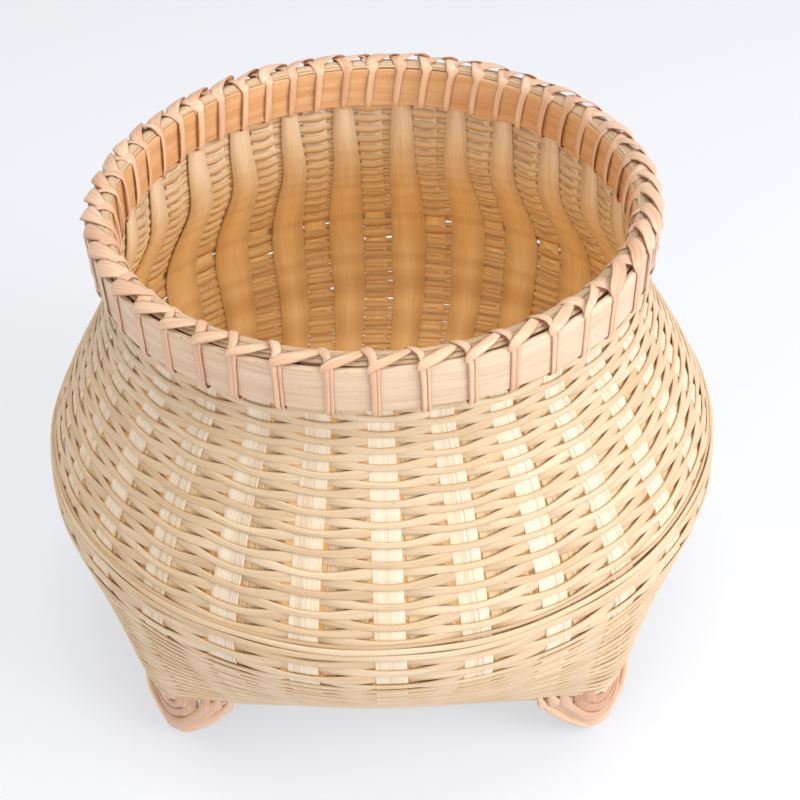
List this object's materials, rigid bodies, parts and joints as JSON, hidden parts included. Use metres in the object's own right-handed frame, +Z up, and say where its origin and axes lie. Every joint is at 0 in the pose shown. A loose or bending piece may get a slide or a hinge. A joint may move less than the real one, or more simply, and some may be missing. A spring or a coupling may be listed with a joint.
{
  "type": "bamboo basket",
  "caption": "Round woven bamboo basket with a wide belly, a flat lashed rim, a square base and looped cane feet.",
  "frame": {"origin": "middle of the four feet, at the height of the surface that they stand on", "axes": "+Z up through the mouth; -Y is the side of the square base that faces the viewer, +X is to the viewer's right"},
  "size_m": [0.2654, 0.2654, 0.2084],
  "materials": {
    "split_bamboo": "pale split bamboo with fine lengthwise grain, satin",
    "weaver_bamboo": "thin rounded bamboo splints, satin",
    "outer_hoop_bamboo": "flat bamboo lath, fine brown streaks, satin",
    "inner_hoop_bamboo": "bamboo lath, skin side in, lightly glossy",
    "lashing_cane": "split cane, lightly glossy"
  },
  "bodies": {
    "root": {"splint_x_01": "split_bamboo", "splint_x_02": "split_bamboo", "splint_x_03": "split_bamboo", "splint_x_04": "split_bamboo", "splint_x_05": "split_bamboo", "splint_x_06": "split_bamboo", "splint_x_07": "split_bamboo", "splint_x_08": "split_bamboo", "splint_x_09": "split_bamboo", "splint_x_10": "split_bamboo", "splint_x_11": "split_bamboo", "splint_x_12": "split_bamboo", "splint_x_13": "split_bamboo", "splint_x_14": "split_bamboo", "splint_y_01": "split_bamboo", "splint_y_02": "split_bamboo", "splint_y_03": "split_bamboo", "splint_y_04": "split_bamboo", "splint_y_05": "split_bamboo", "splint_y_06": "split_bamboo", "splint_y_07": "split_bamboo", "splint_y_08": "split_bamboo", "splint_y_09": "split_bamboo", "splint_y_10": "split_bamboo", "splint_y_11": "split_bamboo", "splint_y_12": "split_bamboo", "splint_y_13": "split_bamboo", "splint_y_14": "split_bamboo", "weaver_row_01": "weaver_bamboo", "weaver_row_02": "weaver_bamboo", "weaver_row_03": "weaver_bamboo", "weaver_row_04": "weaver_bamboo", "weaver_row_05": "weaver_bamboo", "weaver_row_06": "weaver_bamboo", "weaver_row_07": "weaver_bamboo", "weaver_row_08": "weaver_bamboo", "weaver_row_09": "weaver_bamboo", "weaver_row_10": "weaver_bamboo", "weaver_row_11": "weaver_bamboo", "weaver_row_12": "weaver_bamboo", "weaver_row_13": "weaver_bamboo", "belly_band": "weaver_bamboo", "base_border_1": "split_bamboo", "base_border_2": "split_bamboo", "outer_hoop": "outer_hoop_bamboo", "inner_hoop": "inner_hoop_bamboo", "rim_filler": "weaver_bamboo", "rim_lashing": "lashing_cane", "foot_front_left": "lashing_cane", "foot_front_right": "lashing_cane", "foot_back_right": "lashing_cane", "foot_back_left": "lashing_cane"}
  },
  "joints": []
}
